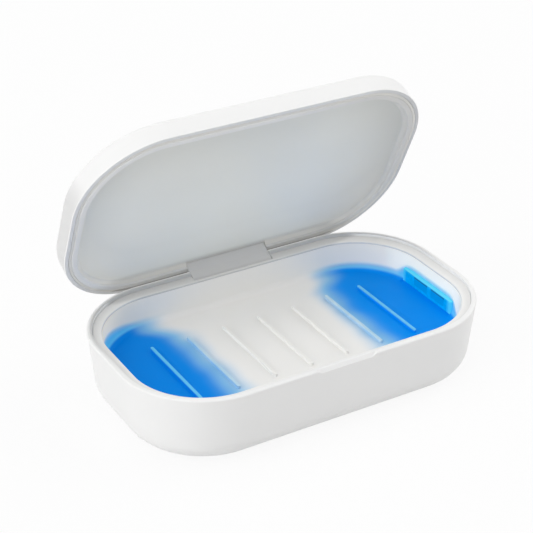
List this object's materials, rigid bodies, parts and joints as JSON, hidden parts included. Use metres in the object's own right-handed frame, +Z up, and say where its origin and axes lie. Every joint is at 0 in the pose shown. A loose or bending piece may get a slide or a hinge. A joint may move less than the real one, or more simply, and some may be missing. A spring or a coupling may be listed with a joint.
{
  "type": "uv sanitizer box",
  "caption": "Rounded box with a friction-hinged lid, a shallow phone tray lit by ultraviolet LED modules at both ends, and a push button and USB-C inlet in one end wall.",
  "frame": {"origin": "centre of the anti-slip pad's lower face, on which the box stands", "axes": "+X along the box to the end with the button and the inlet, +Y to the hinge side, +Z up"},
  "size_m": [0.228, 0.1508, 0.1676],
  "materials": {
    "shell_white": "satin",
    "inner_white": "semi-gloss",
    "liner_grey": "semi-gloss",
    "hinge_grey": "satin",
    "seal_white": "matte",
    "pad_rubber": "matte",
    "clear_cap": "clear",
    "reflector_silver": "metallised",
    "circuit_board": "solder mask",
    "led_package": "gloss",
    "black_plastic": "matte",
    "ivory_plastic": "matte",
    "can_aluminium": "satin",
    "button_white": "semi-gloss",
    "light_ring": "translucent",
    "cable_white": "satin",
    "magnet_nickel": "plated",
    "steel": "zinc plated",
    "sleeve_brass": "satin"
  },
  "bodies": {
    "base": {"base_shell": "shell_white", "base_pad": "pad_rubber", "rim_frame": "inner_white", "inner_tray": "inner_white", "led_window_left": "clear_cap", "led_window_right": "clear_cap", "led_reflector_left": "reflector_silver", "led_reflector_right": "reflector_silver", "led_board_left": "circuit_board", "led_board_right": "circuit_board", "uv_leds_left": "led_package", "uv_leds_right": "led_package", "main_board": "circuit_board", "board_screws": "steel", "controller_chip": "black_plastic", "boost_inductor": "black_plastic", "capacitors": "can_aluminium", "cable_connectors": "ivory_plastic", "usb_socket": "steel", "usb_tongue": "black_plastic", "indicator_led": "led_package", "indicator_ring": "light_ring", "tact_switch": "black_plastic", "led_cable_left": "cable_white", "led_cable_right": "cable_white", "sensor_cable": "cable_white", "base_magnets": "magnet_nickel", "lid_sensor": "black_plastic", "tray_screws": "steel", "hinge_pin": "steel"},
    "lid": {"lid_shell": "shell_white", "lid_liner": "liner_grey", "lid_seal": "seal_white", "hinge_leaf": "hinge_grey", "leaf_screws": "steel", "friction_sleeves": "sleeve_brass", "lid_magnets": "magnet_nickel", "sensor_magnet": "magnet_nickel"},
    "button": {"power_button": "button_white", "switch_plunger": "ivory_plastic"}
  },
  "joints": [
    {"name": "lid_hinge", "type": "hinge", "parent": "base", "child": "lid", "pos_m": [0, 0.0651, 0.03988], "axis": [1, 0, 0], "range_deg": [-25, 65]},
    {"name": "power_button", "type": "slide", "parent": "base", "child": "button", "axis": [-1, 0, 0], "range_m": [0, 0.0005], "stiffness_N_per_m": 2000, "springref_m": -0.0005}
  ]
}
